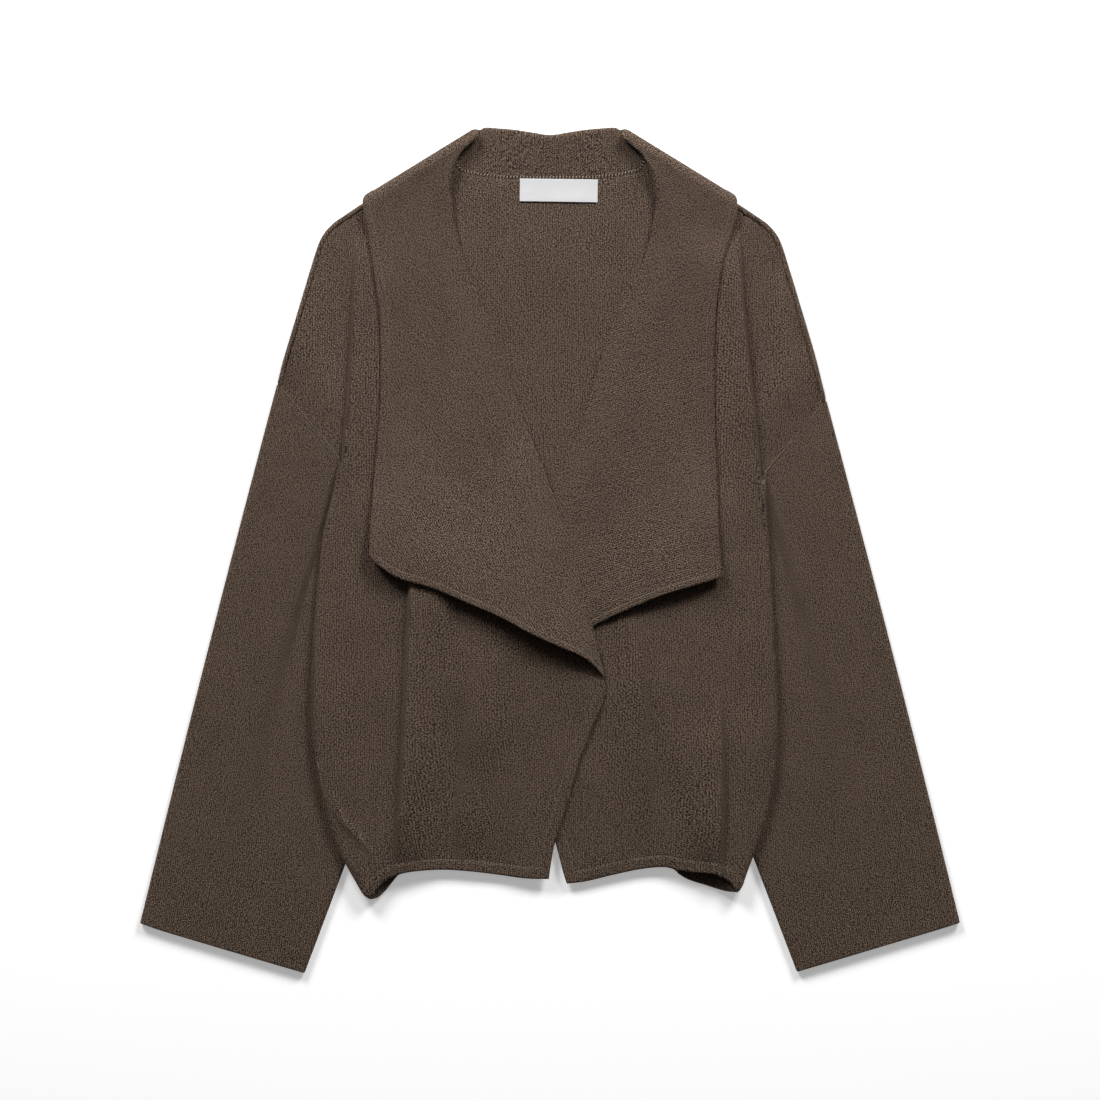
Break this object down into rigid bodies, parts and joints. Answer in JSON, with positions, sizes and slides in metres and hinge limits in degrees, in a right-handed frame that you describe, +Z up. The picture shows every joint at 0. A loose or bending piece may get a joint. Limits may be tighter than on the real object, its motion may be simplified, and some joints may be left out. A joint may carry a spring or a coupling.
{
  "type": "draped shawl-collar open cardigan",
  "caption": "Open-front knitted cardigan laid flat, with a wide draped shawl collar, square lapels, drop shoulders and wide slanted sleeves.",
  "frame": {"origin": "centre of the laid-out cardigan's outline, on the surface that it lies on", "axes": "+X to the viewer's right, which is the wearer's left; +Y from the hem to the collar; +Z up, out of the surface"},
  "size_m": [0.6561, 0.6756, 0.0206],
  "materials": {
    "body_knit": "fine plain knit, taupe brown melange, matte",
    "collar_knit": "fine plain knit, taupe brown melange, matte",
    "sleeve_knit": "fine plain knit, taupe brown melange, matte",
    "label_weave": "white woven ribbon, bare, soft satin"
  },
  "bodies": {
    "root": {"back": "body_knit", "front_right": "body_knit", "front_left": "body_knit", "collar": "collar_knit", "sleeve_right": "sleeve_knit", "sleeve_left": "sleeve_knit", "neck_label": "label_weave"}
  },
  "joints": []
}
